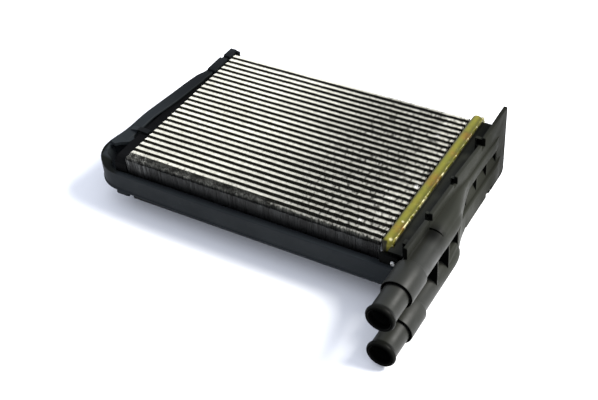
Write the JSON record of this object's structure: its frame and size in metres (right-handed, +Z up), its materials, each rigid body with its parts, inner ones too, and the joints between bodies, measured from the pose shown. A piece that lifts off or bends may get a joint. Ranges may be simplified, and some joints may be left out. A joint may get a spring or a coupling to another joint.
{
  "type": "heater core",
  "caption": "Cabin heater core: a finned aluminium block over round tubes, with a plastic supply tank carrying both hose stubs, a shallow return tank and a moulded carrier frame.",
  "frame": {"origin": "centre of the bounding box at the underside that the part rests on", "axes": "+X along the tubes from the return end to the supply tank, +Y across the core away from the hose stubs, +Z up out of the fin face"},
  "size_m": [0.2904, 0.221, 0.0661],
  "materials": {
    "fin_aluminium": "thin pressed sheet, slightly dull",
    "tube_aluminium": "drawn",
    "passivated_header": "yellow passivated sheet, satin",
    "seal_rubber": "matt black",
    "tank_plastic": "dark grey moulded, satin",
    "frame_plastic": "black moulded, satin",
    "screw_zinc": "bright zinc"
  },
  "bodies": {
    "root": {"fin_pack": "fin_aluminium", "supply_header_plate": "passivated_header", "supply_tank_seal": "seal_rubber", "return_tank_seal": "seal_rubber", "supply_tank": "tank_plastic", "return_tank": "tank_plastic", "return_header_plate": "tube_aluminium", "carrier_frame": "frame_plastic", "frame_screw": "screw_zinc", "core_tube_upper_01": "tube_aluminium", "core_tube_upper_02": "tube_aluminium", "core_tube_upper_03": "tube_aluminium", "core_tube_upper_04": "tube_aluminium", "core_tube_upper_05": "tube_aluminium", "core_tube_upper_06": "tube_aluminium", "core_tube_upper_07": "tube_aluminium", "core_tube_upper_08": "tube_aluminium", "core_tube_upper_09": "tube_aluminium", "core_tube_upper_10": "tube_aluminium", "core_tube_upper_11": "tube_aluminium", "core_tube_upper_12": "tube_aluminium", "core_tube_upper_13": "tube_aluminium", "core_tube_lower_01": "tube_aluminium", "core_tube_lower_02": "tube_aluminium", "core_tube_lower_03": "tube_aluminium", "core_tube_lower_04": "tube_aluminium", "core_tube_lower_05": "tube_aluminium", "core_tube_lower_06": "tube_aluminium", "core_tube_lower_07": "tube_aluminium", "core_tube_lower_08": "tube_aluminium", "core_tube_lower_09": "tube_aluminium", "core_tube_lower_10": "tube_aluminium", "core_tube_lower_11": "tube_aluminium", "core_tube_lower_12": "tube_aluminium", "core_tube_lower_13": "tube_aluminium"}
  },
  "joints": []
}
